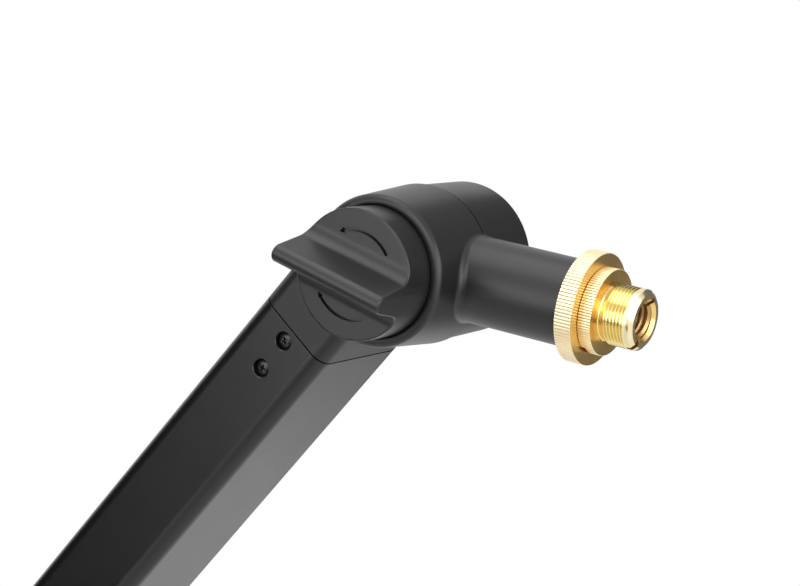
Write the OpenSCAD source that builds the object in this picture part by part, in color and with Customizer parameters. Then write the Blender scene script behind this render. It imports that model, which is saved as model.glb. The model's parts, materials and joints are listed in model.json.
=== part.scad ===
// Head end of a desktop microphone boom arm.
// A rectangular arm tube carries a moulded head fitting. Its half barrel and the
// swivel head's half barrel are clamped together by a winged knob on a through-bolt,
// and the swivel's neck ends in a brass lock ring and a microphone thread adapter.
// +X runs along the arm towards the head, +Y away from the knob, +Z is up.
// The origin is the centre of the elbow pivot bore.

/* [Arm tube] */
// Depth of the tube across the arm
tube_d = 39.1; // [34:0.1:44]
// Height of the tube
tube_h = 25.4; // [22:0.2:32]
// Outer corner radius of the tube
tube_corner = 4.4; // [3:0.2:6]
// Wall of the tube
tube_wall = 2; // [1.2:0.2:2.6]
// Length of the tube
tube_len = 180; // [120:5:420]

/* [Tilt barrel] */
// Width of the whole barrel, from the front ring to the rear face
barrel_w = 45.9; // [42:0.1:52]
// Width of the swivel's half, from the front ring to the seam
front_w = 22.9; // [21:0.1:25]
// Radius of the swivel's half at its front ring
front_face_r = 20; // [19:0.1:20.8]
// Radius of the swivel's half at the seam
front_seam_r = 21.35; // [20.9:0.05:22.6]
// Radius of the fixed half at the seam
rear_seam_r = 20.9; // [19.8:0.1:22]
// Radius of the fixed half at its rear face
rear_face_r = 20.6; // [19:0.1:21.6]
// Rounding of the front ring's outer edge
front_round = 1.8; // [0.6:0.2:2.4]
// Rounding of the rear face's edge
rear_round = 0.6; // [0.4:0.1:2.5]
// Distance from the end of the tube to the tilt axis
shoulder_len = 32.3; // [30:0.1:44]

/* [Neck] */
// Radius of the neck
neck_r = 11.5; // [9.5:0.1:12.5]
// Distance from the tilt axis to the neck's end face
neck_len = 50.1; // [44:0.1:80]
// Distance from the front ring to the neck's axis
neck_y = 21.2; // [18:0.5:24]
// Angle of the neck below the arm's line at rest
neck_angle = 55.5; // [0:0.25:100]

/* [Lock knob] */
// Radius of the knob
knob_r = 17.2; // [15:0.05:17.5]
// Height of the knob's face above the front ring
knob_h = 9.6; // [9:0.1:14]
// Depth of the knob's skirt below the front ring
knob_sink = 1.8; // [1:0.1:3]
// Height of the wing above the knob's face
wing_h = 12.9; // [8:0.1:16]
// Radius of the wing's rounded top
wing_tip_r = 2.5; // [1.5:0.1:3.5]
// Slope of the wing's sides
wing_taper = 13; // [4:1:18]
// Radius of the hollow at the wing's foot
wing_root_r = 4.25; // [1:0.25:5]
// Angle of the wing, from the arm's line, when locked
wing_angle = 67; // [0:0.2:180]
// Width of the curved arrows cut in the knob's face
arrow_w = 0.7; // [0.3:0.05:1]
// Width and length of an arrow's head
arrow_head = 1.6; // [1:0.1:2.4]
// Depth of the curved arrows
arrow_depth = 0.45; // [0.2:0.05:0.8]
// Radius of the curved arrows
arrow_r = 11.6; // [11:0.1:14]

/* [Pivot bolt] */
// Radius of the bolt's shank
bolt_r = 4; // [3:0.5:5]
// Width across the flats of the bolt's head and of the knob's nut
bolt_flats = 13; // [12:0.5:15]
// Height of the bolt's head
bolt_head_h = 5.3; // [4:0.1:6.5]
// Height of the knob's nut
nut_h = 6.3; // [5:0.1:6.6]
// Wall of the swivel's pivot bush
bush_wall = 2.2; // [1:0.1:3]
// Thickness of the thrust washer
thrust_t = 1; // [0.6:0.1:1.2]
// Height of the dished spring washer
spring_h = 1.2; // [0.8:0.1:1.4]
// Outer radius of both washers
washer_r = 9; // [8:0.25:11]
// Outer radius of the friction disc
friction_r = 15; // [11:0.5:17]
// Thickness of the friction disc
friction_t = 1.4; // [0.8:0.1:2]
// Radius of the cap over the bolt's head
cap_r = 10; // [9.5:0.25:13]
// Thickness of the cap over the bolt's head
cap_t = 2; // [1.2:0.1:3]

/* [Microphone thread] */
// Radius of the 3/8-16 stud at the root of its thread
stud_r = 3.95; // [3:0.05:4.5]
// Depth of the stud's insert in the neck
insert_len = 19; // [12:0.5:22]
// Wall of the stud's insert
insert_wall = 3.2; // [1.5:0.1:4.5]
// Radius of the lock ring over its knurl
ring_r = 14.65; // [13:0.05:20]
// Thickness of the lock ring
ring_t = 4.75; // [3:0.25:8]
// Number of knurl teeth on the lock ring
ring_teeth = 104; // [60:2:120]
// Radius of the adapter's flange over its knurl
flange_r = 11.25; // [10:0.05:13]
// Thickness of the adapter's flange
flange_t = 3.4; // [2:0.1:5]
// Number of knurl teeth on the flange
flange_teeth = 96; // [60:2:110]
// Depth of the knurls
knurl_depth = 0.25; // [0.1:0.05:0.4]
// Major radius of the 5/8-27 thread
thread_r = 7.938; // [7.5:0.001:8.5]
// Length of the threaded stretch with its plain lead
thread_len = 7.3; // [6:0.1:14]
// Length of the undercut behind the thread
undercut_len = 1.3; // [0.8:0.1:2.5]
// Depth of the undercut
undercut_depth = 0.75; // [0.3:0.05:1.2]
// Chamfer at the thread's tip
tip_chamfer = 1.1; // [0.4:0.1:1.5]
// Width of the mouth's countersink
mouth_w = 1.6; // [0.5:0.1:2.2]
// Width of the screwdriver slot
slot_w = 1.6; // [1:0.1:2.4]
// Depth of the screwdriver slot
slot_depth = 2.1; // [1:0.1:3]
// Angle of the screwdriver slot round the neck
slot_angle = 152; // [0:1:180]

/* [Tube screws] */
// Distance from the end of the tube to the first screw
screw_inset = 4; // [3.2:0.1:8]
// Distance between the two screws of a pair
screw_pitch = 10.8; // [8:0.1:16]
// Radius of a screw's head
screw_head_r = 2.45; // [2:0.05:2.7]
// Radius of a screw's shank
screw_r = 1.5; // [1:0.1:1.8]
// Length of a screw's shank
screw_len = 7; // [5:0.5:9]
// Wall of a screw's threaded insert
screw_insert_wall = 0.8; // [0.5:0.1:1.2]
// Length of a screw's threaded insert
screw_insert_len = 5.5; // [4:0.5:6.5]
// Depth of the cross recess in a screw's head
cross_depth = 0.9; // [0.5:0.1:1.2]

/* [Elbow end] */
// Distance from the elbow pivot to the end of the tube
tongue_len = 17.7; // [15:0.1:30]
// Thickness of the elbow tongue
tongue_w = 16; // [10:0.5:24]
// Thickness of the collar against the end of the tube
collar_t = 2.6; // [1.5:0.1:3.2]
// Length of both plugs inside the tube
plug_len = 30; // [22:1:50]
// Radius of the elbow pivot bore
pivot_r = 4; // [3:0.25:5]
// Wall of the elbow bush
elbow_bush_wall = 1.5; // [1:0.1:2.5]

/* [Fits] */
// Gap between pieces that are fixed together
seat_gap = 0.03; // [0.02:0.01:0.06]
// Radial clearance of a shaft that turns in its bore
run_gap = 0.05; // [0.03:0.01:0.08]
// Gap between faces of different moving pieces
face_gap = 0.3; // [0.2:0.05:0.5]
// Gap round the knob's skirt
knob_gap = 0.25; // [0.2:0.05:0.5]
// Gap round the barrel, to the fitting's shoulder and to the neck
scoop_gap = 0.5; // [0.3:0.05:0.9]
// Gap between the plugs and the inside of the tube
plug_gap = 0.1; // [0.05:0.05:0.3]
// Shadow gap between the tube and the head fitting
tube_gap = 0.4; // [0.2:0.1:0.8]

/* [Hidden] */

$fn = 96;
black = [0.13, 0.13, 0.14];
satin_black = [0.2, 0.2, 0.21];
brass = [0.86, 0.7, 0.36];
steel = [0.66, 0.67, 0.69];

// Places along the arm.
tube_x0 = tongue_len;
tube_x1 = tube_x0 + tube_len;
tilt_x = tube_x1 + shoulder_len;
// The barrel's top is flush with the top of the tube.
tilt_drop = rear_seam_r - tube_h / 2;

// Places along the tilt axis, counted from the front ring.
front_end = front_w - face_gap / 2;
rear_start = front_w + face_gap / 2;
recess_r = knob_r + knob_gap;
recess_depth = knob_sink + face_gap / 1.5;
bush_r = bolt_r + run_gap + bush_wall;
thrust_z = recess_depth - seat_gap - thrust_t;
spring_z = thrust_z - seat_gap - spring_h;
nut_z = spring_z - seat_gap - nut_h;
bolt_tip_gap = 0.6;
bolt_tip_z = nut_z - bolt_tip_gap / 2;
cap_z = barrel_w - cap_t;
cap_skirt = 1;
bolt_head_z = cap_z - cap_skirt - bolt_head_h;
friction_bore = bush_r + 0.8;

// Places along the neck, counted from the tilt axis.
ring_s = neck_len + face_gap / 3;
flange_s = ring_s + ring_t + face_gap;
undercut_s = flange_s + flange_t;
thread_s = undercut_s + undercut_len;
chamfer_s = thread_s + thread_len;
tip_s = chamfer_s + tip_chamfer;
insert_s = neck_len - insert_len;
female_r = stud_r + run_gap;
stud_end = undercut_s + undercut_len / 2;
edge = 0.4;
more = 1;

function arc(cx, cy, r, a0, a1, n) =
    [for (i = [0 : n]) [cx + r * cos(a0 + (a1 - a0) * i / n), cy + r * sin(a0 + (a1 - a0) * i / n)]];

// Moves children to the tilt axis: their +Z runs rearwards from the front ring.
module on_tilt() translate([tilt_x, -barrel_w / 2, -tilt_drop]) rotate([-90, 0, 0]) children();

// Moves children to the neck: their +Z runs outwards from the tilt axis.
module on_neck()
    translate([tilt_x, neck_y - barrel_w / 2, -tilt_drop])
        rotate([0, 90 + neck_angle, 0]) children();

// Moves children to a screw pair on each side: their +Z runs outwards from the tube's middle.
module at_screws(end_x, way)
    for (side = [-1, 1], i = [0, 1])
        translate([end_x + way * (screw_inset + i * screw_pitch), 0, 0])
            rotate([side * -90, 0, 0]) children();

module rounded_rect(w, h, r) {
    square([w - 2 * r, h], center = true);
    square([w, h - 2 * r], center = true);
    for (sx = [-1, 1], sy = [-1, 1])
        translate([sx * (w / 2 - r), sy * (h / 2 - r)]) circle(r);
}

// A bar with rounded corners along +X, inset from the tube's outside all round.
module tube_bar(x, len, inset)
    translate([x, 0, 0]) rotate([90, 0, 90]) linear_extrude(len)
        rounded_rect(tube_d - 2 * inset, tube_h - 2 * inset, tube_corner - inset);

module pipe(z, len, outer, inner)
    rotate_extrude() translate([inner, z]) square([outer - inner, len]);

module hex(z, len, flats)
    translate([0, 0, z]) cylinder(h = len, r = flats / 2 / cos(30), $fn = 6);

// A straight knurl: a ring of pointed teeth.
module knurled(z, len, r, teeth)
    translate([0, 0, z]) linear_extrude(len) polygon([for (i = [0 : 2 * teeth - 1])
        let (q = r - (i % 2) * knurl_depth, a = i * 180 / teeth) [q * cos(a), q * sin(a)]]);

screw_seat = tube_d / 2 - tube_wall - plug_gap;
screw_insert_r = screw_r + seat_gap + screw_insert_wall;
head_clear = 0.3;

module screw_set() {
    head_h = tube_wall + plug_gap - seat_gap - 0.2;
    difference() {
        union() {
            translate([0, 0, screw_seat + seat_gap]) cylinder(h = head_h, r = screw_head_r);
            translate([0, 0, screw_seat - screw_len]) cylinder(h = screw_len + more, r = screw_r);
        }
        for (turn = [0, 90])
            rotate(turn) translate([0, 0, screw_seat + seat_gap + head_h])
                cube([screw_head_r * 1.1, screw_head_r * 0.28, 2 * cross_depth], center = true);
    }
}

module screw_sleeve()
    pipe(screw_seat - screw_insert_len, screw_insert_len, screw_insert_r, screw_r + seat_gap);

// What the screws and their inserts need inside a plug.
module screw_hollow() {
    translate([0, 0, screw_seat - screw_insert_len - seat_gap])
        cylinder(h = screw_insert_len + more, r = screw_insert_r + seat_gap);
    translate([0, 0, screw_seat - screw_len - seat_gap - 0.5])
        cylinder(h = screw_len, r = screw_r + seat_gap);
}

module arm_tube() color(satin_black) difference() {
    tube_bar(tube_x0, tube_len, 0);
    tube_bar(tube_x0 - more, tube_len + 2 * more, tube_wall);
    for (end = [[tube_x0, 1], [tube_x1, -1]])
        at_screws(end[0], end[1]) translate([0, 0, screw_seat - more])
            cylinder(h = tube_wall + 3 * more, r = screw_head_r + head_clear);
}

// The fixed half of the barrel, with a rounded rear edge.
module rear_half()
    rotate_extrude() polygon(concat(
        [[0, rear_start], [rear_seam_r - edge, rear_start], [rear_seam_r, rear_start + edge]],
        arc(rear_face_r - rear_round, barrel_w - rear_round, rear_round, 0, 90, 8),
        [[0, barrel_w]]));

module head_fitting() color(black) difference() {
    union() {
        tube_bar(tube_x1 - plug_len, plug_len + tube_gap + more, tube_wall + plug_gap);
        intersection() {
            tube_bar(tube_x1 + tube_gap, shoulder_len + more, 0);
            union() {
                translate([tube_x1, -tube_d, -tube_h])
                    cube([shoulder_len - rear_seam_r / 2, 2 * tube_d, 2 * tube_h]);
                translate([tube_x1, front_end - barrel_w / 2, -tube_h])
                    cube([shoulder_len, tube_d, 2 * tube_h]);
            }
        }
        on_tilt() rear_half();
    }
    on_tilt() {
        translate([0, 0, -barrel_w]) cylinder(h = barrel_w + rear_start, r = front_seam_r + scoop_gap);
        translate([0, 0, rear_start - more]) cylinder(h = barrel_w, r = bolt_r + seat_gap);
        translate([0, 0, rear_start - more])
            cylinder(h = more + friction_t - face_gap + seat_gap * 2, r = friction_r + seat_gap);
        hex(bolt_head_z - seat_gap, barrel_w, bolt_flats + 2 * seat_gap);
        translate([0, 0, cap_z - seat_gap]) cylinder(h = cap_t + more, r = cap_r + seat_gap);
    }
    at_screws(tube_x1, -1) screw_hollow();
}

module head_screws() color(steel) at_screws(tube_x1, -1) screw_set();

module head_inserts() color(brass) at_screws(tube_x1, -1) screw_sleeve();

module pivot_bolt() color(steel) on_tilt() {
    translate([0, 0, bolt_tip_z]) cylinder(h = bolt_head_z - bolt_tip_z + more, r = bolt_r);
    hex(bolt_head_z, bolt_head_h, bolt_flats);
}

module rear_cap() color(black) on_tilt() {
    translate([0, 0, cap_z]) cylinder(h = cap_t, r = cap_r);
    hex(cap_z - cap_skirt + seat_gap, cap_skirt, bolt_flats - 2 * seat_gap);
}

module friction_disc() color([0.35, 0.27, 0.2]) on_tilt()
    pipe(front_end + seat_gap, friction_t, friction_r, friction_bore);

module elbow_plug() color(black) difference() {
    union() {
        tube_bar(tube_x0 - seat_gap - collar_t, collar_t, 0);
        tube_bar(tube_x0 - seat_gap - more, plug_len + more, tube_wall + plug_gap);
        translate([0, -tongue_w / 2, -tube_h / 2]) cube([tube_x0 - collar_t, tongue_w, tube_h]);
        rotate([-90, 0, 0]) translate([0, 0, -tongue_w / 2]) cylinder(h = tongue_w, r = tube_h / 2);
    }
    rotate([-90, 0, 0]) cylinder(h = 2 * tongue_w, r = pivot_r + elbow_bush_wall + seat_gap, center = true);
    at_screws(tube_x0, 1) screw_hollow();
}

module elbow_screws() color(steel) at_screws(tube_x0, 1) screw_set();

module elbow_inserts() color(brass) at_screws(tube_x0, 1) screw_sleeve();

module elbow_bush() color(brass) rotate([-90, 0, 0])
    pipe(-tongue_w / 2, tongue_w, pivot_r + elbow_bush_wall, pivot_r);

// The turning half of the barrel, with a rounded front ring round the knob.
module front_half()
    rotate_extrude() polygon(concat(
        [[0, front_end], [0, 0]],
        arc(front_face_r - front_round, front_round, front_round, -90, 0, 8),
        [[front_seam_r, front_end - edge], [front_seam_r - edge, front_end]]));

module swivel_head() color(black) difference() {
    union() {
        on_tilt() front_half();
        on_neck() cylinder(h = neck_len, r = neck_r);
    }
    on_tilt() {
        translate([0, 0, -more]) cylinder(h = recess_depth + more, r = recess_r);
        translate([0, 0, -more]) cylinder(h = barrel_w, r = bush_r + seat_gap);
        translate([0, 0, front_end]) cylinder(h = barrel_w, r = rear_seam_r + scoop_gap);
    }
    on_neck() translate([0, 0, insert_s - seat_gap])
        cylinder(h = insert_len + more, r = female_r + insert_wall + seat_gap);
}

module pivot_bush() color(brass) on_tilt()
    pipe(recess_depth, front_end - recess_depth, bush_r, bolt_r + run_gap);

module thrust_washer() color(steel) on_tilt() pipe(thrust_z, thrust_t, washer_r, bolt_r + face_gap);

module stud_insert() color(brass) on_neck()
    pipe(insert_s, insert_len, female_r + insert_wall, stud_r + seat_gap);

module neck_stud() color(steel) on_neck()
    translate([0, 0, insert_s]) cylinder(h = stud_end - insert_s, r = stud_r);

module lock_ring() color(brass) on_neck() difference() {
    knurled(ring_s, ring_t, ring_r, ring_teeth);
    translate([0, 0, ring_s - more]) cylinder(h = ring_t + 2 * more, r = female_r);
}

module thread_adapter() color(brass) on_neck() difference() {
    union() {
        knurled(flange_s, flange_t, flange_r, flange_teeth);
        rotate_extrude() polygon([[0, flange_s], [thread_r - undercut_depth, flange_s],
            [thread_r - undercut_depth, thread_s - undercut_depth], [thread_r, thread_s],
            [thread_r, chamfer_s], [thread_r - tip_chamfer, tip_s], [0, tip_s]]);
    }
    translate([0, 0, flange_s - more]) cylinder(h = tip_s, r = female_r);
    rotate_extrude() polygon([[0, tip_s - mouth_w], [female_r - seat_gap, tip_s - mouth_w],
        [female_r + mouth_w, tip_s], [female_r + mouth_w, tip_s + more], [0, tip_s + more]]);
    rotate(slot_angle) translate([-2 * thread_r, -slot_w / 2, tip_s - slot_depth])
        cube([4 * thread_r, slot_w, 2 * slot_depth]);
}

// Half of the wing's outline: the rounded top, the sloping side and the hollow at its foot.
top_h = wing_h - wing_tip_r;
side_offset = wing_tip_r + top_h * sin(wing_taper);
root_x = (side_offset + wing_root_r * (1 - sin(wing_taper))) / cos(wing_taper);
// The hollow stops just short of level, so that it meets the knob's face at a clear edge.
root_end = 258;
half_wing = concat(
    arc(0, top_h, wing_tip_r, 90, wing_taper, 8),
    arc(root_x, wing_root_r, wing_root_r, 180 + wing_taper, root_end, 8),
    [[root_x + wing_root_r * cos(root_end), -more]]);
wing = concat(half_wing, [for (i = [len(half_wing) - 1 : -1 : 1]) [-half_wing[i][0], half_wing[i][1]]]);

// A curved arrow from one angle to another, as a cut in the knob's face.
module arrow(from, to) {
    side = sign(to - from);
    translate([0, 0, -knob_h - more]) {
        rotate(min(from, to)) rotate_extrude(angle = abs(to - from))
            translate([arrow_r - arrow_w / 2, 0]) square([arrow_w, arrow_depth + more]);
        rotate(to) translate([arrow_r, 0, 0]) linear_extrude(arrow_depth + more)
            polygon([[-arrow_head / 2, 0], [arrow_head / 2, 0], [0, side * arrow_head]]);
    }
}

module lock_knob() color(satin_black) on_tilt() difference() {
    intersection() {
        translate([0, 0, -knob_h - 2 * wing_h])
            cylinder(h = knob_h + 2 * wing_h + knob_sink, r = knob_r);
        union() {
            translate([-2 * knob_r, -2 * knob_r, -knob_h])
                cube([4 * knob_r, 4 * knob_r, knob_h + knob_sink + more]);
            rotate([0, 0, wing_angle]) translate([0, 0, -knob_h]) rotate([-90, 0, -90])
                linear_extrude(4 * knob_r, center = true) polygon(wing);
        }
    }
    hex(nut_z - seat_gap, knob_h + wing_h, bolt_flats + 2 * seat_gap);
    translate([0, 0, nut_z - bolt_tip_gap]) cylinder(h = knob_h, r = bolt_r + face_gap);
    translate([0, 0, spring_z - seat_gap]) cylinder(h = knob_h, r = washer_r + face_gap);
    // The arrows keep to the two sides of the wing.
    arrow(19, -61);
    arrow(-240, -163);
}

module knob_nut() color(brass) on_tilt() difference() {
    hex(nut_z, nut_h, bolt_flats);
    translate([0, 0, nut_z - more]) cylinder(h = nut_h + 2 * more, r = bolt_r + run_gap);
}

module spring_washer() color(steel) on_tilt() rotate_extrude() polygon([
    [bolt_r + face_gap, spring_z], [bolt_r + face_gap + 1, spring_z],
    [washer_r, spring_z + spring_h / 2], [washer_r, spring_z + spring_h],
    [washer_r - 1, spring_z + spring_h], [bolt_r + face_gap, spring_z + spring_h / 2]]);

arm_tube();
head_fitting();
head_screws();
head_inserts();
pivot_bolt();
rear_cap();
friction_disc();
elbow_plug();
elbow_screws();
elbow_inserts();
elbow_bush();
swivel_head();
pivot_bush();
thrust_washer();
stud_insert();
neck_stud();
lock_ring();
thread_adapter();
lock_knob();
knob_nut();
spring_washer();
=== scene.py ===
"""Looks of a microphone boom arm's head: black tube, clamped tilt barrel, brass adapter."""
import json
import math

import bpy
from mathutils import Matrix, Vector


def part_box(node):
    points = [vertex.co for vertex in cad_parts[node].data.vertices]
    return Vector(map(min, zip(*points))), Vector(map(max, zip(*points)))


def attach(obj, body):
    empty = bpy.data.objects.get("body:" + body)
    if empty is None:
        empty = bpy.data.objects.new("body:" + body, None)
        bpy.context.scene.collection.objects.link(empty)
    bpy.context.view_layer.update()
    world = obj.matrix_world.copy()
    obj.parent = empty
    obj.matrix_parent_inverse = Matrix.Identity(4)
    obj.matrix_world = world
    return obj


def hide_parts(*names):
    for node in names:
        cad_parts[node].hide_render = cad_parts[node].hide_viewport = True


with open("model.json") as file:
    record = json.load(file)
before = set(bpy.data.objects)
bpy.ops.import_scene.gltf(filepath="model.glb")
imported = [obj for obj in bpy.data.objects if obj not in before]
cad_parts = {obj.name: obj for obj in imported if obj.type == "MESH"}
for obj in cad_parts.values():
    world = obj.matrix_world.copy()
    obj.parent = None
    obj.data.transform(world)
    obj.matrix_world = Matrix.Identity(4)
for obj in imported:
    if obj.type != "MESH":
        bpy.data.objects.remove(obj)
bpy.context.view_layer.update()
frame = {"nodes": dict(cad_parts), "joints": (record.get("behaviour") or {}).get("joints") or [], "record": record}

bpy.ops.object.select_all(action="DESELECT")

# The place of the head: the tilt axis runs along Y through the barrel, and the neck
# stands out of it at an angle below the arm's line. Both come from the joints. Pieces are
# modelled in millimetres, and their places are too.
mm = 0.001
joints = {joint["name"]: joint for joint in frame["joints"]}
tilt_axis = Vector(joints["head_tilt"]["pos_m"]) / mm
neck_way = Vector(joints["ring_turn"]["axis"]).normalized()
neck_up = Vector((0, 1, 0)).cross(neck_way)
front_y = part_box("swivel_head")[0].y / mm
barrel_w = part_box("head_fitting")[1].y / mm - front_y
neck_y = joints["ring_turn"]["pos_m"][1] / mm - front_y
front_centre = Vector((tilt_axis.x, front_y, tilt_axis.z))
# Local Z of a turned piece runs rearwards along the tilt axis, or outwards along the neck.
on_tilt = Matrix.Translation(front_centre) @ Matrix.Rotation(-math.pi / 2, 4, "X")
on_neck = Matrix.Translation(front_centre + Vector((0, neck_y, 0))) @ Matrix((
    (neck_up.x, 0, neck_way.x, 0),
    (neck_up.y, 1, neck_way.y, 0),
    (neck_up.z, 0, neck_way.z, 0),
    (0, 0, 0, 1)))

# Camera: a long lens that looks up at the head from the knob's side, rolled until the arm
# runs down to the left. Its place is given from the middle of the barrel's front face.
camera_from_head = Vector((278.68, -515.02, -199.76))
camera_right = Vector((0.579344, 0.537673, -0.612591))
camera_up = Vector((0.679551, 0.096386, 0.727269))
camera_back = camera_right.cross(camera_up)
camera_place = (front_centre + camera_from_head) * mm
camera = bpy.data.objects.new("camera", bpy.data.cameras.new("camera"))
bpy.context.scene.collection.objects.link(camera)
camera.matrix_world = Matrix.Translation(camera_place) @ Matrix(
    (camera_right, camera_up, camera_back)).transposed().to_4x4()
camera.data.sensor_width = 36
camera.data.lens = 108.2
camera.data.clip_start = 0.01
bpy.context.scene.camera = camera
bpy.context.scene.view_settings.view_transform = "Standard"

# Studio: a pale floor and a white surround, which look white but light the arm only softly, and
# softboxes over the head, beside the knob, in front of it, below it and behind the arm. Two black
# cards keep the sides of the black pieces dark, and a grey one dims what the far edges reflect.
floor_centre = (0.2, 0, -1.1)
floor_size = 9
floor_glow = 0.42
surround_light = 0.5


def looked_at(tree):
    """Adds nodes that give 1 to the rays that look at a surface, and 0 to those that light it."""
    path = tree.nodes.new("ShaderNodeLightPath")
    seen = path.outputs["Is Camera Ray"]
    for kind in ("Is Glossy Ray", "Is Transmission Ray"):
        either = tree.nodes.new("ShaderNodeMath")
        either.operation = "MAXIMUM"
        tree.links.new(seen, either.inputs[0])
        tree.links.new(path.outputs[kind], either.inputs[1])
        seen = either.outputs[0]
    return seen


bpy.ops.mesh.primitive_plane_add(size=floor_size, location=floor_centre)
floor = bpy.context.object
floor.name = "floor"
floor_finish = bpy.data.materials.new("floor_pale")
floor_finish.use_nodes = True
floor_tree = floor_finish.node_tree
floor_shader = floor_tree.nodes["Principled BSDF"]
floor_shader.inputs["Base Color"].default_value = (0.82, 0.82, 0.82, 1)
floor_shader.inputs["Roughness"].default_value = 0.9
floor_shader.inputs["Emission Color"].default_value = (1, 1, 1, 1)
glow = floor_tree.nodes.new("ShaderNodeMath")
glow.operation = "MULTIPLY"
glow.inputs[1].default_value = floor_glow
floor_tree.links.new(looked_at(floor_tree), glow.inputs[0])
floor_tree.links.new(glow.outputs[0], floor_shader.inputs["Emission Strength"])
floor.data.materials.append(floor_finish)

world = bpy.data.worlds.new("studio")
bpy.context.scene.world = world
world.use_nodes = True
nodes = world.node_tree.nodes
links = world.node_tree.links
surround = nodes["Background"]
surround.inputs["Color"].default_value = (1, 1, 1, 1)
surround.inputs["Strength"].default_value = surround_light
white = nodes.new("ShaderNodeBackground")
white.inputs["Color"].default_value = (1, 1, 1, 1)
white.inputs["Strength"].default_value = 1
mix = nodes.new("ShaderNodeMixShader")
links.new(looked_at(world.node_tree), mix.inputs["Fac"])
links.new(surround.outputs[0], mix.inputs[1])
links.new(white.outputs[0], mix.inputs[2])
links.new(mix.outputs[0], nodes["World Output"].inputs["Surface"])


def facing_head(turn, lift, distance, roll=0):
    """Where a lamp or card stands, by its direction from the head in degrees, round Z and above
    the level, and its distance in metres. It faces the head and is rolled in its own plane."""
    turn, lift = math.radians(turn), math.radians(lift)
    way = Vector((math.cos(lift) * math.cos(turn), math.cos(lift) * math.sin(turn), math.sin(lift)))
    facing = way.to_track_quat("Z", "Y").to_matrix().to_4x4()
    rolled = facing @ Matrix.Rotation(math.radians(roll), 4, "Z")
    return Matrix.Translation(front_centre * mm + way * distance) @ rolled


def softbox(name, place, width, height, brightness):
    """A rectangular lamp; its brightness is what a mirror would show, where white is 1."""
    lamp = bpy.data.lights.new(name, "AREA")
    lamp.shape = "RECTANGLE"
    lamp.size = width
    lamp.size_y = height
    lamp.energy = brightness * math.pi * width * height
    holder = bpy.data.objects.new(name, lamp)
    bpy.context.scene.collection.objects.link(holder)
    holder.matrix_world = place
    holder.visible_camera = False


def card(name, place, width, height, shade):
    """A black or grey card that shows in reflections alone."""
    paint = bpy.data.materials.new(name + "_paint")
    paint.use_nodes = True
    paint_shader = paint.node_tree.nodes["Principled BSDF"]
    paint_shader.inputs["Base Color"].default_value = (shade, shade, shade, 1)
    paint_shader.inputs["Roughness"].default_value = 1
    paint_shader.inputs["Specular IOR Level"].default_value = 0
    bpy.ops.mesh.primitive_plane_add(size=1)
    sheet = bpy.context.object
    sheet.name = name
    sheet.scale = (width, height, 1)
    bpy.ops.object.transform_apply(location=True, rotation=True, scale=True)
    sheet.matrix_world = place
    sheet.data.materials.append(paint)
    sheet.visible_camera = False
    sheet.visible_diffuse = False
    sheet.visible_shadow = False


softbox("overhead", facing_head(-15, 54, 1.1), 1.0, 0.6, 2.1)
softbox("strip", facing_head(-106, 20, 1.1, -40), 0.35, 0.65, 3.2)
softbox("front", facing_head(-60, 12, 1.1), 0.92, 0.8, 2.0)
softbox("front_low", facing_head(-21, -38, 0.9), 1.4, 0.55, 2.8)
softbox("low_back", facing_head(139, -28, 0.8), 0.36, 0.36, 0.6)
card("left_card", facing_head(-150.5, 36, 1.2), 1.4, 1.3, 0.01)
card("narrow_card", facing_head(-109, -28, 1.2), 0.4, 0.9, 0.01)
card("back_card", facing_head(80, -6.5, 1.2, -20), 1.9, 1.4, 0.2)


# Arm tube: an extruded alloy bar with rounded corners, cut square, its two ends broken,
# bored for the screws, and blasted and anodised satin black.
tube_low, tube_high = (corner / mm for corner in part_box("arm_tube"))
tube_d = tube_high.y - tube_low.y
tube_h = tube_high.z - tube_low.z
tube_side = tube_d / 2
tube_corner = 4.4
tube_wall = 2
end_break = 0.15
# How far in from each end of the tube its two screws stand on each side.
near_screw = 4
far_screw = 14.8
screw_bore_r = 2.55
bore_depth = 5
bore_break = 0.2


def only(piece):
    """Selects one piece alone."""
    bpy.ops.object.select_all(action="DESELECT")
    piece.select_set(True)
    bpy.context.view_layer.objects.active = piece


def pick(piece, wanted, kind="EDGE"):
    """Opens a piece in edit mode with only the edges or faces selected that wanted() names."""
    only(piece)
    bpy.ops.object.mode_set(mode="EDIT")
    bpy.ops.mesh.select_mode(type=kind)
    bpy.ops.mesh.select_all(action="DESELECT")
    bpy.ops.object.mode_set(mode="OBJECT")
    mesh = piece.data
    for part in (mesh.edges if kind == "EDGE" else mesh.polygons):
        part.select = wanted([mesh.vertices[i].co for i in part.vertices])
    bpy.ops.object.mode_set(mode="EDIT")


def put(piece, place):
    """Moves a piece and works its place into its mesh."""
    only(piece)
    piece.matrix_world = place
    bpy.ops.object.transform_apply(location=True, rotation=True, scale=True)


def modified(piece, kind, **settings):
    """Adds a modifier with its settings and applies it."""
    only(piece)
    bpy.ops.object.modifier_add(type=kind)
    modifier = piece.modifiers[-1]
    for name, value in settings.items():
        setattr(modifier, name, value)
    bpy.ops.object.modifier_apply(modifier=modifier.name)


def eased(piece, width, segments, sharper_than=50):
    """Breaks all edges of a piece that are sharper than an angle in degrees."""
    modified(piece, "BEVEL", width=width, segments=segments, limit_method="ANGLE",
             angle_limit=math.radians(sharper_than))


def cut(piece, tool, operation="DIFFERENCE"):
    """Cuts a tool out of a piece, or joins it to the piece as one solid, and removes the tool."""
    modified(piece, "BOOLEAN", operation=operation, solver="EXACT", object=tool)
    bpy.data.objects.remove(tool)


def closed(piece):
    """Fills the open ends of a piece and turns its faces outwards."""
    only(piece)
    bpy.ops.object.mode_set(mode="EDIT")
    bpy.ops.mesh.select_all(action="DESELECT")
    bpy.ops.mesh.select_mode(type="EDGE")
    bpy.ops.mesh.select_non_manifold()
    bpy.ops.mesh.fill_holes(sides=0)
    bpy.ops.mesh.select_all(action="SELECT")
    bpy.ops.mesh.normals_make_consistent(inside=False)
    bpy.ops.object.mode_set(mode="OBJECT")


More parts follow.
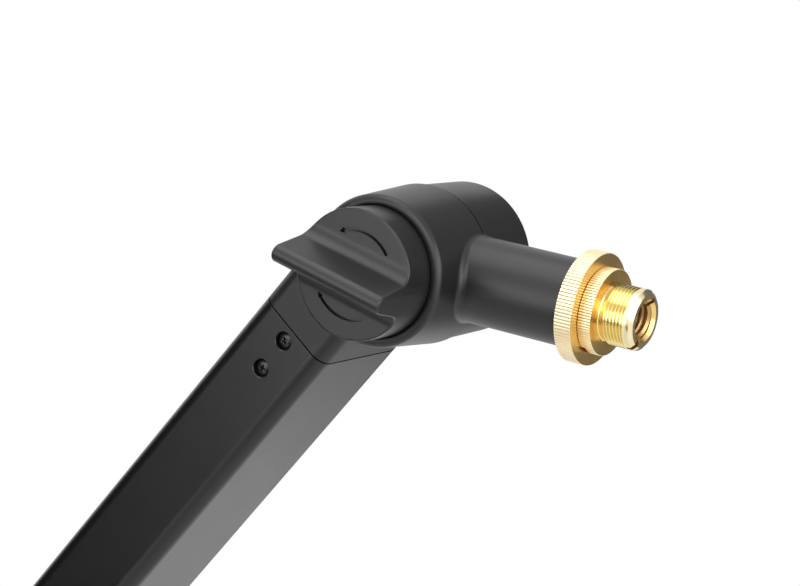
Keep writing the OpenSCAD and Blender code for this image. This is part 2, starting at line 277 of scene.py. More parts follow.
def bar(name, x0, x1, inset):
    """A bar along X with the tube's section, smaller all round by an inset."""
    bpy.ops.object.select_all(action="DESELECT")
    bpy.ops.mesh.primitive_cube_add(size=1, location=((x0 + x1) / 2, 0, 0))
    piece = bpy.context.object
    piece.name = name
    piece.scale = (x1 - x0, tube_d - 2 * inset, tube_h - 2 * inset)
    bpy.ops.object.transform_apply(location=True, rotation=True, scale=True)
    pick(piece, lambda ends: abs(ends[0].x - ends[1].x) > (x1 - x0) / 2)
    bpy.ops.mesh.bevel(offset=tube_corner - inset, segments=12, affect="EDGES")
    bpy.ops.object.mode_set(mode="OBJECT")
    return piece


def round_bar(radius, length, place, sides=96):
    """A plain round bar, used as a cutting tool or a blank, centred on its place."""
    bpy.ops.object.select_all(action="DESELECT")
    bpy.ops.mesh.primitive_cylinder_add(vertices=sides, radius=radius, depth=length)
    piece = bpy.context.object
    put(piece, place)
    return piece


def finished(piece, name, body, slot, finish, *nodes, angle=30):
    """Brings a piece to real size, smooths it, gives it its finish and ties it to its body."""
    put(piece, Matrix.Scale(mm, 4))
    piece.name = name
    piece.data.name = name
    bpy.ops.object.shade_smooth_by_angle(angle=math.radians(angle))
    modified(piece, "WEIGHTED_NORMAL", keep_sharp=True, weight=50)
    piece.data.materials.clear()
    piece.data.materials.append(finish)
    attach(piece, body)
    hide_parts(*nodes)


def plain(name, colour, roughness, metallic=0.0):
    """A shader with one colour, to which a finish adds its grain."""
    made = bpy.data.materials.new(name)
    made.use_nodes = True
    shader = made.node_tree.nodes["Principled BSDF"]
    shader.inputs["Base Color"].default_value = (*colour, 1)
    shader.inputs["Roughness"].default_value = roughness
    shader.inputs["Metallic"].default_value = metallic
    return made


def add_grain(finish, scale, depth, roughness_low, roughness_high):
    """Adds a fine bump, and a roughness that varies slowly over the surface."""
    patch_scale = 90
    tree = finish.node_tree
    shader = tree.nodes["Principled BSDF"]
    place = tree.nodes.new("ShaderNodeTexCoord")
    grain = tree.nodes.new("ShaderNodeTexNoise")
    grain.inputs["Scale"].default_value = scale
    grain.inputs["Detail"].default_value = 2
    bump = tree.nodes.new("ShaderNodeBump")
    bump.inputs["Strength"].default_value = 1
    bump.inputs["Distance"].default_value = depth
    patches = tree.nodes.new("ShaderNodeTexNoise")
    patches.inputs["Scale"].default_value = patch_scale
    spread = tree.nodes.new("ShaderNodeMapRange")
    spread.inputs["To Min"].default_value = roughness_low
    spread.inputs["To Max"].default_value = roughness_high
    tree.links.new(place.outputs["Object"], grain.inputs["Vector"])
    tree.links.new(place.outputs["Object"], patches.inputs["Vector"])
    tree.links.new(grain.outputs["Fac"], bump.inputs["Height"])
    tree.links.new(bump.outputs["Normal"], shader.inputs["Normal"])
    tree.links.new(patches.outputs["Fac"], spread.inputs["Value"])
    tree.links.new(spread.outputs["Result"], shader.inputs["Roughness"])


def turned(name, outline, sides=256):
    """A piece turned on a lathe from its outline of (height, radius) points, which ends on the
    axis or where it began."""
    bpy.ops.object.select_all(action="DESELECT")
    bpy.ops.mesh.primitive_plane_add(size=0.1)
    piece = bpy.context.object
    piece.name = name
    bpy.ops.object.mode_set(mode="EDIT")
    bpy.ops.mesh.select_mode(type="VERT")
    bpy.ops.mesh.merge(type="CENTER")
    height, radius = outline[0]
    bpy.ops.transform.translate(value=(radius, 0, height))
    for next_height, next_radius in outline[1:]:
        step = (next_radius - radius, 0, next_height - height)
        bpy.ops.mesh.extrude_region_move(TRANSFORM_OT_translate={"value": step})
        height, radius = next_height, next_radius
    bpy.ops.mesh.select_all(action="SELECT")
    bpy.ops.mesh.spin(steps=sides, angle=math.tau, center=(0, 0, 0), axis=(0, 0, 1))
    bpy.ops.mesh.select_all(action="SELECT")
    bpy.ops.mesh.remove_doubles(threshold=0.001)
    bpy.ops.mesh.normals_make_consistent(inside=False)
    bpy.ops.object.mode_set(mode="OBJECT")
    return piece


screw_places = [tube_high.x - far_screw, tube_high.x - near_screw,
                tube_low.x + near_screw, tube_low.x + far_screw]
bore_outline = [
    (tube_side - bore_depth, 0), (tube_side - bore_depth, screw_bore_r),
    (tube_side - bore_break, screw_bore_r),
    (tube_side + bore_break, screw_bore_r + 2 * bore_break), (tube_side + bore_break, 0)]
tube = bar("arm_tube", tube_low.x, tube_high.x, 0)
pick(tube, lambda corners: max(c.x for c in corners) - min(c.x for c in corners) < 1, "FACE")
bpy.ops.mesh.delete(type="FACE")
bpy.ops.object.mode_set(mode="OBJECT")
modified(tube, "SOLIDIFY", thickness=tube_wall, offset=-1, use_even_offset=True)
eased(tube, end_break, 2, 40)
for x in screw_places:
    for side in (-1, 1):
        bore = turned("bore", bore_outline, 48)
        put(bore, Matrix.Translation((x, 0, 0)) @ Matrix.Rotation(side * math.pi / 2, 4, "X"))
        cut(tube, bore)
tube_black = plain("tube_black", (0.004, 0.004, 0.0045), 0.3)
add_grain(tube_black, 5200, 0.000008, 0.28, 0.33)
finished(tube, "tube_shell", "arm", "tube_black", tube_black, "arm_tube")


# Head fitting: a black moulding. Its plug fills the end of the tube, its shoulder carries on
# the tube's outline, and its rear half of the barrel takes the through-bolt.
front_end = 22.75
rear_start = 23.05
rear_seam_r = 20.9
rear_face_r = 20.6
rear_round = 0.6
seam_edge = 0.12
rebate_r = 19.3
rebate_end = 24.15
disc_seat_r = 15.2
disc_seat_depth = 1.2
cap_pocket_r = 10.03
cap_pocket_depth = 2.03
bolt_hole_r = 4.03
shoulder_x = tube_high.x + 0.4
shoulder_break = 0.15
shoulder_lap = 0.5
swivel_room_r = 21.85
plug_len = 30
plug_inset = 2.1
plug_lap = 2
tool_len = 60
# The neck is made with the swivel head. The shoulder is cut back where the neck comes to its
# lower stop, so its size, its fillet and that angle are needed here first.
neck_r = 11.5
fillet = 2.1
neck_stop = math.radians(joints["head_tilt"]["range_deg"][0])
neck_room = 0.6


def arc(height, radius, size, start, end, steps=8):
    """Points of a rounding in a lathe outline: its centre, its size and its angles."""
    turns = [math.radians(start + (end - start) * i / steps) for i in range(steps + 1)]
    return [(height + size * math.sin(a), radius + size * math.cos(a)) for a in turns]


cap_floor = barrel_w - cap_pocket_depth
disc_floor = rear_start + disc_seat_depth
rear_half = turned("rear_half", (
    [(rear_start, disc_seat_r), (rear_start, rebate_r), (rebate_end, rebate_r),
     (rebate_end, rear_seam_r - seam_edge)]
    + arc(rebate_end + seam_edge, rear_seam_r - seam_edge, seam_edge, -90, 0, 4)[1:]
    + arc(barrel_w - rear_round, rear_face_r - rear_round, rear_round, 0, 90, 5)
    + [(barrel_w, cap_pocket_r), (cap_floor, cap_pocket_r), (cap_floor, bolt_hole_r),
       (disc_floor, bolt_hole_r), (disc_floor, disc_seat_r), (rear_start, disc_seat_r)]))
put(rear_half, on_tilt)
shoulder = bar("shoulder", shoulder_x, tilt_axis.x, 0)
scoop_place = on_tilt @ Matrix.Translation((0, 0, rear_start - tool_len / 2))
scoop = round_bar(swivel_room_r, tool_len, scoop_place, 256)
cut(shoulder, scoop)
behind_place = on_tilt @ Matrix.Translation((0, 0, rear_start + tool_len / 4 - 0.02))
behind = round_bar(rebate_r - shoulder_lap, tool_len / 2, behind_place, 256)
cut(shoulder, behind)
neck_at_stop = (Matrix.Translation(on_neck.translation) @ Matrix.Rotation(neck_stop, 4, "Y")
                @ on_neck.to_3x3().to_4x4() @ Matrix.Translation((0, 0, tool_len / 2)))
relief = round_bar(neck_r + fillet + neck_room, tool_len, neck_at_stop, 192)
cut(shoulder, relief)
eased(shoulder, shoulder_break, 2)
plug = bar("plug", tube_high.x - plug_len, shoulder_x + plug_lap, plug_inset)
only(rear_half)
shoulder.select_set(True)
plug.select_set(True)
bpy.ops.object.join()
moulded_black = plain("moulded_black", (0.008, 0.008, 0.009), 0.4)
add_grain(moulded_black, 4200, 0.00001, 0.36, 0.43)
finished(rear_half, "head_moulding", "arm", "moulded_black", moulded_black, "head_fitting")


# Tube screws: four blackened steel screws at each end of the tube, with crowned heads and a
# cross recess. They sit sunk in its bores and bite into the inserts of the moulded plugs.
screw_seat = tube_side - 2.1
screw_top = tube_side - 0.65
screw_len = 7
shank_r = 1.5
head_outline = [
    (screw_seat, 2.2), (screw_top - 0.75, 2.3), (screw_top - 0.4, 2.0), (screw_top - 0.12, 1.5),
    (screw_top, 1.1), (screw_top, 0)]
cross_len = 2.5
cross_w = 0.66
cross_depth = 1.1
cross_above = 0.5
screw_break = 0.13
# Each screw stops at an angle of its own: these degrees for each millimetre along the arm.
screw_turn = 37

screw = turned("screw", [(screw_seat - screw_len, 0), (screw_seat - screw_len, shank_r),
                         (screw_seat, shank_r)] + head_outline, 48)
cross_middle = screw_top + (cross_above - cross_depth) / 2
for turn in (0, math.pi / 2):
    bpy.ops.mesh.primitive_cube_add(size=1, location=(0, 0, cross_middle))
    recess = bpy.context.object
    recess.scale = (cross_len, cross_w, cross_above + cross_depth)
    bpy.ops.object.transform_apply(location=True, rotation=True, scale=True)
    pick(recess, lambda corners: max(c.z for c in corners) < cross_middle, "FACE")
    bpy.ops.transform.resize(value=(0.45, 0.6, 1), center_override=(0, 0, screw_top - cross_depth))
    bpy.ops.object.mode_set(mode="OBJECT")
    put(recess, Matrix.Rotation(turn, 4, "Z"))
    cut(screw, recess)
eased(screw, screw_break, 2)
screw_black = plain("screw_black", (0.01, 0.01, 0.011), 0.2)
add_grain(screw_black, 2600, 0.00006, 0.16, 0.26)
for node, places in (("head_screws", screw_places[:2]), ("elbow_screws", screw_places[2:])):
    copies = []
    for x in places:
        for side in (-90, 90):
            copy = screw.copy()
            copy.data = screw.data.copy()
            bpy.context.scene.collection.objects.link(copy)
            driven = (Matrix.Rotation(math.radians(side), 4, "X")
                      @ Matrix.Rotation(math.radians(x * screw_turn), 4, "Z"))
            put(copy, Matrix.Translation((x, 0, 0)) @ driven)
            copies.append(copy)
    only(copies[0])
    for copy in copies[1:]:
        copy.select_set(True)
    bpy.ops.object.join()
    finished(copies[0], node + "_set", "arm", "screw_black", screw_black, node)
bpy.data.objects.remove(screw)


# Rear cap: a thin black moulded disc with the small dimple of its gate, pressed into the rear
# half of the barrel over the bolt's head until it is flush.
cap_r = 10
cap_back = barrel_w - 2
cap_face = barrel_w - 0.02
cap_edge = 0.35
cap_chamfer = 0.15
gate_r = 1.15
cap = turned("cap", (
    [(cap_back, 0), (cap_back, cap_r - cap_chamfer), (cap_back + cap_chamfer, cap_r)]
    + arc(cap_face - cap_edge, cap_r - cap_edge, cap_edge, 0, 90, 5)
    + [(cap_face, gate_r + 0.15), (cap_face - 0.1, gate_r), (cap_face - 0.1, 0)]), 128)
put(cap, on_tilt)
finished(cap, "rear_cap_moulding", "arm", "moulded_black", moulded_black, "rear_cap")


# Elbow end: a black moulding whose plug fills the tube's other end, with a collar against the
# tube and a round-ended tongue, bored for the bush of the arm's elbow.
core_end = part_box("elbow_plug")[1].x / mm
bush_low, bush_high = (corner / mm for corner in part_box("elbow_bush"))
tongue_w = bush_high.y - bush_low.y
tongue_r = tube_h / 2 - 0.04
tongue_break = 0.45
bush_r = bush_high.x
collar_end = tube_low.x - 0.03
collar_start = collar_end - 2.6
collar_break = 0.2
tongue_lap = 0.5
core_lap = 1
across_arm = Matrix.Rotation(-math.pi / 2, 4, "X")
elbow = bar("elbow", collar_start, collar_end, 0)
eased(elbow, collar_break, 3)
tongue = round_bar(tongue_r, tongue_w, across_arm, 128)
pick(tongue, lambda corners: len(corners) == 4 and min(c.x for c in corners) > -0.01, "FACE")
bpy.ops.mesh.extrude_region_move(TRANSFORM_OT_translate={"value": (tube_h, 0, 0)})
bpy.ops.transform.resize(value=(0, 1, 1), center_override=(collar_start + tongue_lap, 0, 0))
bpy.ops.mesh.select_all(action="SELECT")
bpy.ops.mesh.dissolve_limited(angle_limit=math.radians(1))
bpy.ops.object.mode_set(mode="OBJECT")
pivot_hole = round_bar(bush_r + 0.03, 2 * tongue_w, across_arm)
cut(tongue, pivot_hole)
eased(tongue, tongue_break, 4)
cut(elbow, tongue, "UNION")
elbow_core = bar("elbow_core", collar_end - core_lap, core_end, plug_inset)
cut(elbow, elbow_core, "UNION")
finished(elbow, "elbow_moulding", "arm", "moulded_black", moulded_black, "elbow_plug")


# Swivel head: a black moulding, the turning front half of the barrel with a rounded ring
# round the knob's recess, and the neck that grows out of its side with a small fillet.
front_face_r = 20
front_seam_r = 21.35
front_round = 1.8
recess_r = 17.45
recess_depth = 2
recess_edge = 0.25
recess_corner = 0.3
seam_round = 0.25
bush_seat_r = 6.3
neck_len = 50.1
front_half = turned("front_half", (
    [(recess_depth, bush_seat_r), (recess_depth, recess_r - recess_corner),
     (recess_depth - recess_corner, recess_r), (recess_edge, recess_r), (0.07, recess_r + 0.07),
     (0, recess_r + recess_edge)]
    + arc(front_round, front_face_r - front_round, front_round, -90, 0, 10)
    + arc(front_end - seam_round, front_seam_r - seam_round, seam_round, 0, 90, 3)
    + [(front_end, bush_seat_r), (recess_depth, bush_seat_r)]))
put(front_half, on_tilt)

# The neck starts as a ring of points round its axis. Each row after it is drawn out and
# then laid on a ball that rolls in the corner between the barrel and the neck, and the last
# rows break the edge of the neck's end.
neck_sides = 192
fillet_rows = 10
neck_rows = [neck_len - 0.4, neck_len - 0.12, neck_len]
neck_inset = [0, 0.12, 0.4]


def barrel_radius(height):
    """The barrel's radius at a height behind its face: its side widens evenly to the seam."""
    share = (height - front_round) / (front_end - front_round)
    return front_face_r + (front_seam_r - front_face_r) * share


def root_point(angle, row):
    """A point of the neck's root, in the neck's own frame: row 0 lies inside the barrel, and the
    last row where the fillet runs out into the neck."""
    side, lift = math.cos(angle), math.sin(angle)
    reach = neck_r + fillet
    radius = barrel_radius(min(front_end, neck_y + reach * lift)) + fillet
    along = math.sqrt(radius ** 2 - (reach * side) ** 2)
    centre = Vector((reach * side, reach * lift, along))
    to_barrel = Vector((-reach * side, 0, -along)).normalized()
    to_neck = Vector((-side, -lift, 0))
    if row == 0:
        return centre + to_barrel * (fillet + 2)
    share = (row - 1) / (fillet_rows - 1)
    way = to_barrel.lerp(to_neck, share).normalized()
    return centre + way * fillet


bpy.ops.object.select_all(action="DESELECT")
bpy.ops.mesh.primitive_circle_add(vertices=neck_sides, radius=neck_r, fill_type="NOTHING")
neck = bpy.context.object
bpy.ops.object.mode_set(mode="EDIT")
for row in range(fillet_rows + len(neck_rows)):
    bpy.ops.mesh.extrude_region_move(TRANSFORM_OT_translate={"value": (0, 0, 1)})
bpy.ops.object.mode_set(mode="OBJECT")
for point in neck.data.vertices:
    row = round(point.co.z)
    angle = math.atan2(point.co.y, point.co.x)
    if row <= fillet_rows:
        point.co = root_point(angle, row)
    else:
        last = row - fillet_rows - 1
        radius = neck_r - neck_inset[last]
        point.co = (radius * math.cos(angle), radius * math.sin(angle), neck_rows[last])
closed(neck)
put(neck, on_neck)
clear_r = front_seam_r + 0.05
clearance = turned("clearance", [
    (front_end, 0), (front_end, clear_r), (tool_len, clear_r), (tool_len, 0)])
put(clearance, on_tilt)
cut(neck, clearance)
only(front_half)
neck.select_set(True)
bpy.ops.object.join()
finished(front_half, "swivel_moulding", "swivel", "moulded_black", moulded_black, "swivel_head")


# Lock knob: a black moulding with a straight wing across its face, hollow at both feet, and
# two curved arrows cut in the face. It screws the two halves of the barrel together.
knob_r = 17.2
knob_h = 9.6
knob_sink = 1.8
wing_h = 12.9
wing_tip_r = 2.5
wing_taper = math.radians(13)
wing_root_r = 4.25
wing_angle = 67
rim_round = 0.5
flat_end = knob_r - 0.8
flat_steps = 6
arc_steps = 12
row_steps = 20
top_h = wing_h - wing_tip_r
side_offset = wing_tip_r + top_h * math.sin(wing_taper)
root_x = (side_offset + wing_root_r * (1 - math.sin(wing_taper))) / math.cos(wing_taper)

# Half of the section across the wing, from the top down: place across, height above the
# face, and the way the surface faces there.
half_section = []
for i in range(arc_steps + 1):
    a = math.pi / 2 - (math.pi / 2 - wing_taper) * i / arc_steps
    way = (math.cos(a), math.sin(a))
    half_section.append((wing_tip_r * way[0], top_h + wing_tip_r * way[1], *way))
for i in range(arc_steps + 1):
    a = math.pi + wing_taper + (math.pi / 2 - wing_taper) * i / arc_steps
    way = (math.cos(a), math.sin(a))
    half_section.append((root_x + wing_root_r * way[0], wing_root_r + wing_root_r * way[1],
                         -way[0], -way[1]))
for i in range(1, flat_steps + 1):
    half_section.append((root_x + (flat_end - root_x) * i / flat_steps, 0, 0, 1))
inset_steps = [0, 0.03, 0.1, 0.2, 0.33, rim_round]
for inset in reversed(inset_steps):
    half_section.append((knob_r - inset, 0, 0, 1))
section = [(-x, z, -nx, nz) for x, z, nx, nz in reversed(half_section[1:])] + half_section

# The rows run along the wing: how far each lies in from the rim, and its share of the way
# from the middle to one end or the other.
rows = [(inset, 1) for inset in inset_steps]
rows += [(rim_round, 1 - 2 * i / row_steps) for i in range(1, row_steps)]
rows += [(inset, -1) for inset in reversed(inset_steps)]


def knob_point(column, row):
    """A point of the knob's face: a column of the wing's section and a row along the wing. The
    rounding of the rim moves the point inwards, and a second pass takes that up."""
    x, z, nx, nz = section[column]
    inset, share = rows[row]
    for _ in range(2):
        y = share * math.sqrt(max(0, (knob_r - inset) ** 2 - x * x))
        depth = max(0, rim_round - max(0, knob_r - math.hypot(x, y)))
        drop = rim_round - math.sqrt(max(0, rim_round ** 2 - depth ** 2))
        x = section[column][0] - drop * nx
    return Vector((x, y, z - drop * nz))


bpy.ops.object.select_all(action="DESELECT")
bpy.ops.mesh.primitive_grid_add(
    x_subdivisions=len(section) - 1, y_subdivisions=len(rows) - 1, size=1)
knob = bpy.context.object
for point in knob.data.vertices:
    column = round((point.co.x + 0.5) * (len(section) - 1))
    row = round((point.co.y + 0.5) * (len(rows) - 1))
    point.co = knob_point(column, row)
only(knob)
bpy.ops.object.mode_set(mode="EDIT")
bpy.ops.mesh.select_all(action="SELECT")
bpy.ops.mesh.remove_doubles(threshold=0.002)
bpy.ops.mesh.select_all(action="DESELECT")
bpy.ops.mesh.select_non_manifold()
bpy.ops.mesh.extrude_region_move(TRANSFORM_OT_translate={"value": (0, 0, -1)})
bpy.ops.transform.resize(value=(1, 1, 0), center_override=(0, 0, -knob_h - knob_sink))
bpy.ops.mesh.edge_face_add()
bpy.ops.mesh.select_all(action="SELECT")
bpy.ops.mesh.normals_make_consistent(inside=False)
bpy.ops.object.mode_set(mode="OBJECT")
on_face = on_tilt @ Matrix.Translation((0, 0, -knob_h))
put(knob, Matrix.Rotation(math.radians(90 - wing_angle), 4, "Z"))
put(knob, on_face @ Matrix.Rotation(math.pi, 4, "X"))

# Each arrow is a short bent bar and a three-sided head, sunk into the face. Their angles run
# round the tilt axis from the arm's line.
arrow_r = 11.6
arrow_w = 0.85
arrow_head_r = 1
arrow_depth = 1.2
arrow_steps = 48
for start, end in ((19, -58), (-240, -163)):
    bpy.ops.object.select_all(action="DESELECT")
    bpy.ops.mesh.primitive_plane_add(size=1, rotation=(math.pi / 2, 0, 0))
    shaft = bpy.context.object
    shaft.scale = (arrow_w, 2 * arrow_depth, 1)
    shaft.location = (arrow_r, 0, 0)
    bpy.ops.object.transform_apply(location=True, rotation=True, scale=True)
    bpy.ops.object.mode_set(mode="EDIT")
    bpy.ops.mesh.select_all(action="SELECT")
    bpy.ops.mesh.spin(steps=arrow_steps, angle=-math.radians(end - start), center=(0, 0, 0),
                      axis=(0, 0, 1))
    bpy.ops.object.mode_set(mode="OBJECT")
    closed(shaft)
    put(shaft, Matrix.Rotation(math.radians(start), 4, "Z"))
    point_way = 0 if end > start else math.pi
    head_place = (Matrix.Rotation(math.radians(end), 4, "Z")
                  @ Matrix.Translation((arrow_r, 0, 0)) @ Matrix.Rotation(point_way, 4, "Z"))
    head = round_bar(arrow_head_r, 2 * arrow_depth, head_place, 3)
    for tool in (shaft, head):
        put(tool, on_face)
        cut(knob, tool)
knob_black = plain("knob_black", (0.01, 0.01, 0.011), 0.38)
add_grain(knob_black, 4200, 0.000009, 0.34, 0.41)
finished(knob, "lock_knob_moulding", "knob", "knob_black", knob_black, "lock_knob")


# Lock ring: turned brass with a straight knurl round its rim and both edges broken, run along
# the stud against the neck's end. Its faces keep the tool's rings. The knurl's crests are a paler
# brass as a painted highlight, and its grooves a darker brass for residue and painted shade.
brass_colour = (0.86, 0.57, 0.2)
brass = plain("brass", brass_colour, 0.22, 1.0)
# Painted highlight on the knurl's crests, and painted shade with some residue in its grooves.
knurl_crest_painted_highlight = plain("brass_knurl_crest_painted_highlight", (0.9, 0.8, 0.54), 0.38, 1.0)
knurl_groove_residue_and_shade = plain("brass_knurl_groove_residue_and_shade", (0.6, 0.45, 0.22), 0.45, 1.0)
add_grain(knurl_crest_painted_highlight, 2600, 0.000006, 0.34, 0.42)
add_grain(knurl_groove_residue_and_shade, 2600, 0.000006, 0.41, 0.49)
knurl_depth = 0.22
groove_w = 0.26
edge_break = 0.12
tool_feed = 0.17
ring_from = neck_len + 0.1
ring_to = ring_from + 4.75
ring_r = 14.65
ring_bore_r = 4.3
ring_teeth = 104
in_neck = on_neck.inverted() @ Matrix.Scale(1 / mm, 4)


def add_lathe_lines(finish, place, spacing, depth, roughness_low, roughness_high):
    """Adds the fine rings that a turning tool leaves round an axis, which is a place's own Z, and
    a roughness that varies slowly over the surface."""
    tree = finish.node_tree
    shader = tree.nodes["Principled BSDF"]
    coordinates = tree.nodes.new("ShaderNodeTexCoord")
    centred = tree.nodes.new("ShaderNodeMapping")
    to_axis = (Matrix.Translation(place.translation * mm) @ place.to_3x3().to_4x4()).inverted()
    centred.inputs["Location"].default_value = to_axis.translation
    centred.inputs["Rotation"].default_value = to_axis.to_euler()
    tree.links.new(coordinates.outputs["Object"], centred.inputs["Vector"])
    last = None
    for kind in ("RINGS", "BANDS"):
        lines = tree.nodes.new("ShaderNodeTexWave")
        lines.wave_type = kind
        lines.rings_direction = "Z"
        lines.bands_direction = "Z"
        lines.inputs["Scale"].default_value = math.tau / 20 / (spacing * mm)
        bump = tree.nodes.new("ShaderNodeBump")
        bump.inputs["Strength"].default_value = 1
        bump.inputs["Distance"].default_value = depth * mm
        tree.links.new(centred.outputs["Vector"], lines.inputs["Vector"])
        tree.links.new(lines.outputs["Fac"], bump.inputs["Height"])
        if last:
            tree.links.new(last.outputs["Normal"], bump.inputs["Normal"])
        last = bump
    tree.links.new(last.outputs["Normal"], shader.inputs["Normal"])
    stain = tree.nodes.new("ShaderNodeTexNoise")
    stain.inputs["Scale"].default_value = 220
    spread = tree.nodes.new("ShaderNodeMapRange")
    spread.inputs["To Min"].default_value = roughness_low
    spread.inputs["To Max"].default_value = roughness_high
    tree.links.new(coordinates.outputs["Object"], stain.inputs["Vector"])
    tree.links.new(stain.outputs["Fac"], spread.inputs["Value"])
    tree.links.new(spread.outputs["Result"], shader.inputs["Roughness"])


def knurled(name, before, start, end, radius, after, teeth):
    """A turned piece with a straight knurl between two heights. A tooth has four columns: one in
    the groove, its two sides, and one on the crest."""
    rim = [(start, radius - edge_break), (start + edge_break, radius), (end - edge_break, radius),
           (end, radius - edge_break)]
    piece = turned(name, before + rim + after, 4 * teeth)
    share_of_depth = (1, 0.25, 0, 0.25)
    for point in piece.data.vertices:
        x, y, z = point.co
        column = round(math.atan2(y, x) * 4 * teeth / math.tau) % (4 * teeth)
        wanted = radius - knurl_depth * share_of_depth[column % 4]
        if start - 0.01 < z < end + 0.01 and math.hypot(x, y) > radius - 0.5:
            angle = column * math.tau / teeth / 4
            if column % 2:
                side = 1 if column % 4 == 1 else -1
                angle += side * (groove_w / 2 / radius - math.tau / teeth / 4)
            wanted = min(wanted, math.hypot(x, y))
            point.co = (wanted * math.cos(angle), wanted * math.sin(angle), z)
    return piece


def paint_knurl_light(piece, start, end, radius, teeth):
    """Gives a knurl paler crests as a painted highlight, and darker grooves for residue and painted shade."""
    piece.data.materials.append(knurl_crest_painted_highlight)
    piece.data.materials.append(knurl_groove_residue_and_shade)
    for face in piece.data.polygons:
        centre = in_neck @ face.center
        out = math.hypot(centre.x, centre.y)
        if out < radius - 0.4 or not start < centre.z < end or abs(face.normal.dot(neck_way)) > 0.9:
            continue
        tooth = math.atan2(centre.y, centre.x) * teeth / math.tau
        from_groove = abs(tooth - round(tooth)) * math.tau * radius / teeth
        face.material_index = 2 if from_groove < groove_w / 2 else 1


add_lathe_lines(brass, on_neck, tool_feed, 0.006, 0.17, 0.27)
ring = knurled("ring", [(ring_from, ring_bore_r), (ring_from, 12)], ring_from, ring_to, ring_r,
               [(ring_to, ring_bore_r), (ring_from, ring_bore_r)], ring_teeth)
put(ring, on_neck)
finished(ring, "lock_ring_brass", "ring", "brass", brass, "lock_ring", angle=20)
paint_knurl_light(ring, ring_from, ring_to, ring_r, ring_teeth)


# Thread adapter: turned brass with a knurled flange, an undercut, the microphone thread with
# its plain lead, the stud's thread inside, a countersunk mouth and a slot for a screwdriver.
flange_back = ring_to + 0.1
flange_front = ring_to + 3.7
flange_r = 11.25
flange_teeth = 96
thread_r = 7.938
root_r = 7.36
undercut_r = thread_r - 0.75
thread_from = flange_front + 1.3
land_from = thread_from + 5.6
chamfer_from = thread_from + 7.3
tip = chamfer_from + 1.1
thread_pitch = 25.4 / 27
female_root_r = 4.76
female_crest_r = 4.05
female_pitch = 25.4 / 16
thread_turns = 6
mouth_r = 5.6
mouth_depth = 1.8
slot_w = 1.6
slot_floor = tip - 2.1
slot_turn = Matrix.Rotation(math.radians(152), 4, "Z")
cutter_len = 20
cutter_h = 4
notch_in = 1.6
notch_w = 4.5
notch_deep = 1.1
notch_turn = Matrix.Rotation(math.radians(335), 4, "Z")
adapter_outline = [
    (flange_front, undercut_r + 0.2), (flange_front + 0.2, undercut_r),
    (thread_from - 0.3, undercut_r), (thread_from, root_r), (land_from, root_r),
    (land_from + 0.35, thread_r), (chamfer_from, thread_r),
    (chamfer_from + 0.25, thread_r - 0.1), (tip - 0.15, thread_r - 0.95),
    (tip, thread_r - 1.15), (tip, female_root_r), (flange_back, female_root_r)]
adapter = knurled("adapter", [(flange_back, female_root_r)], flange_back, flange_front, flange_r,
                  adapter_outline, flange_teeth)


def thread(root, crest, pitch, start, turns, sides):
    """A thread's ridge, wound up from a start height: its foot lies 0.1 mm inside the metal."""
    bpy.ops.object.select_all(action="DESELECT")
    bpy.ops.mesh.primitive_circle_add(vertices=4, radius=1, fill_type="NOTHING")
    ridge = bpy.context.object
    foot = root - 0.1 if crest > root else root + 0.1
    foot_half, crest_half = pitch * 0.48, pitch * 0.08
    outline = [(foot, -foot_half), (crest, -crest_half), (crest, crest_half), (foot, foot_half)]
    for point, (radius, height) in zip(ridge.data.vertices, outline):
        point.co = (radius, 0, height + start)
    modified(ridge, "SCREW", angle=math.tau, screw_offset=pitch, iterations=turns, steps=sides,
             render_steps=sides, axis="Z")
    closed(ridge)
    return ridge


outer_ridge = thread(root_r, thread_r, thread_pitch, thread_from - 0.1, thread_turns, 96)
inner_ridge = thread(female_root_r, female_crest_r, female_pitch, flange_front - 0.4,
                     thread_turns, 64)
cut(adapter, outer_ridge, "UNION")
cut(adapter, inner_ridge, "UNION")
mouth = turned("mouth", [
    (tip - mouth_depth, 0), (tip - mouth_depth, mouth_r - mouth_depth),
    (tip + 0.5, mouth_r + 0.5), (tip + 0.5, 0)], 96)
cut(adapter, mouth)
for turn, middle, block_size in (
        (slot_turn, (0, 0, slot_floor + cutter_h / 2), (cutter_len, slot_w, cutter_h)),
        (notch_turn, (flange_r, 0, flange_back), (2 * notch_in, notch_w, 2 * notch_deep))):
    bpy.ops.object.select_all(action="DESELECT")
    bpy.ops.mesh.primitive_cube_add(size=1)
    block = bpy.context.object
    put(block, turn @ Matrix.Translation(middle) @ Matrix.Diagonal((*block_size, 1)))
    cut(adapter, block)
put(adapter, on_neck)
finished(adapter, "adapter_brass", "adapter", "brass", brass, "thread_adapter", angle=25)
paint_knurl_light(adapter, flange_back, flange_front, flange_r, flange_teeth)
# The thread and the tip get paler copies of the brass, a painted highlight.
thread_brass_painted_highlight = plain("brass_thread_painted_highlight", (0.84, 0.69, 0.31), 0.17, 1.0)
add_lathe_lines(thread_brass_painted_highlight, on_neck, tool_feed, 0.0015, 0.14, 0.2)
tip_brass_painted_highlight = plain("brass_tip_painted_highlight", (0.88, 0.75, 0.46), 0.2, 1.0)
add_lathe_lines(tip_brass_painted_highlight, on_neck, tool_feed, 0.002, 0.16, 0.24)
# A darker copy of the brass, painted shade for the bore, the screwdriver slot and the notch.
brass_inside_painted_shade = plain("brass_inside_painted_shade", (0.46, 0.29, 0.13), 0.35, 1.0)
add_lathe_lines(brass_inside_painted_shade, on_neck, tool_feed, 0.003, 0.3, 0.4)
for finish in (brass_inside_painted_shade, thread_brass_painted_highlight, tip_brass_painted_highlight):
    adapter.data.materials.append(finish)
painted_shade_index, thread_index, tip_index = 3, 4, 5
across_slot = slot_turn.to_3x3() @ Vector((0, 1, 0))
turned_back = on_neck.to_3x3().inverted()
near = 0.01
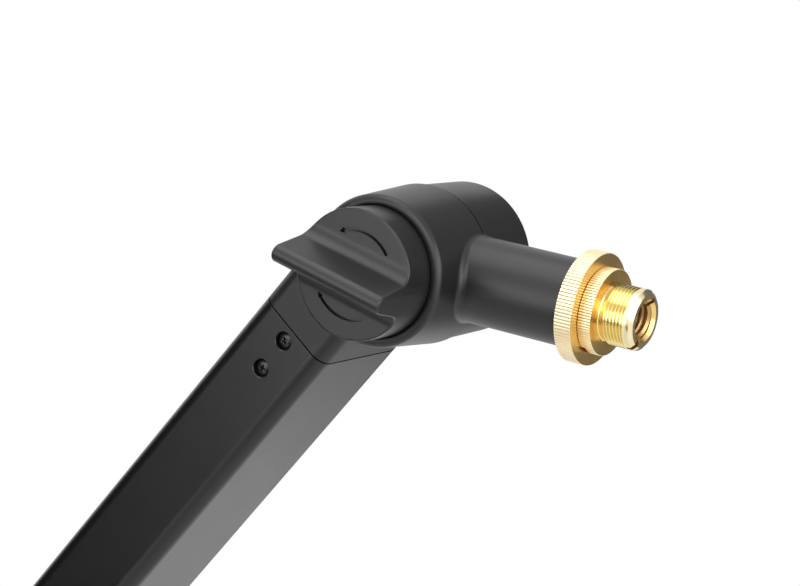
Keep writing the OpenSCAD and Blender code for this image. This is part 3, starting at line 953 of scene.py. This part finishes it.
# Faces in the bore, the slot and the notch take the darker brass as painted shade.
for face in adapter.data.polygons:
    centre = in_neck @ face.center
    facing = turned_back @ face.normal
    out = math.hypot(centre.x, centre.y)
    in_bore = out < female_root_r + near and centre.z < tip - 0.8
    slot_wall = abs(facing.dot(across_slot)) > 0.99 or centre.z < slot_floor + near
    in_slot = (slot_wall and centre.z > slot_floor - near
               and abs(centre.dot(across_slot)) < slot_w / 2 + near)
    in_notch = (flange_back < centre.z < flange_back + notch_deep + near
                and flange_r - notch_in - near < out < flange_r - knurl_depth - 0.05)
    if in_bore or in_slot or in_notch:
        face.material_index = painted_shade_index
    # The outer thread and the tip take the paler brass copies as a painted highlight.
    elif centre.z > flange_front + 0.05 and out > mouth_r:
        face.material_index = thread_index if centre.z < land_from + 0.3 else tip_index


# Elbow bush: a turned brass sleeve with chamfered ends, pressed flush into the tongue. The arm's
# next section is pinned through it.
pivot_r = bush_r - 1.5
bush_end = tongue_w / 2 - 0.03
bore_chamfer = 0.4
rim_chamfer = 0.25
bush_brass = plain("brass_bush", brass_colour, 0.25, 1.0)
add_lathe_lines(bush_brass, across_arm, 0.15, 0.006, 0.17, 0.27)
bush = turned("bush", [
    (-bush_end, pivot_r + bore_chamfer), (-bush_end, bush_r - rim_chamfer),
    (-bush_end + rim_chamfer, bush_r), (bush_end - rim_chamfer, bush_r),
    (bush_end, bush_r - rim_chamfer), (bush_end, pivot_r + bore_chamfer),
    (bush_end - bore_chamfer, pivot_r), (-bush_end + bore_chamfer, pivot_r),
    (-bush_end, pivot_r + bore_chamfer)], 96)
put(bush, across_arm)
finished(bush, "elbow_bush_brass", "arm", "brass", bush_brass, "elbow_bush")


# Inner pieces: the bolt, nut, washers, bush, inserts and stud are steel and brass, and the
# friction disc is pressed fibre. They are hidden once the arm is put together and keep their
# plain shapes.
steel = plain("steel", (0.6, 0.6, 0.62), 0.3, 1.0)
add_grain(steel, 2500, 0.000005, 0.26, 0.36)
friction_fibre = plain("friction_fibre", (0.12, 0.08, 0.05), 0.8)
add_grain(friction_fibre, 1500, 0.00003, 0.75, 0.9)
slot_finish = {"moulded_black": moulded_black, "brass": brass, "steel": steel,
               "friction_fibre": friction_fibre}
for entry in frame["record"]["subparts"]:
    solid = frame["nodes"][entry["node"]]
    if entry["material_slot"] in slot_finish:
        solid.data.materials.clear()
        solid.data.materials.append(slot_finish[entry["material_slot"]])
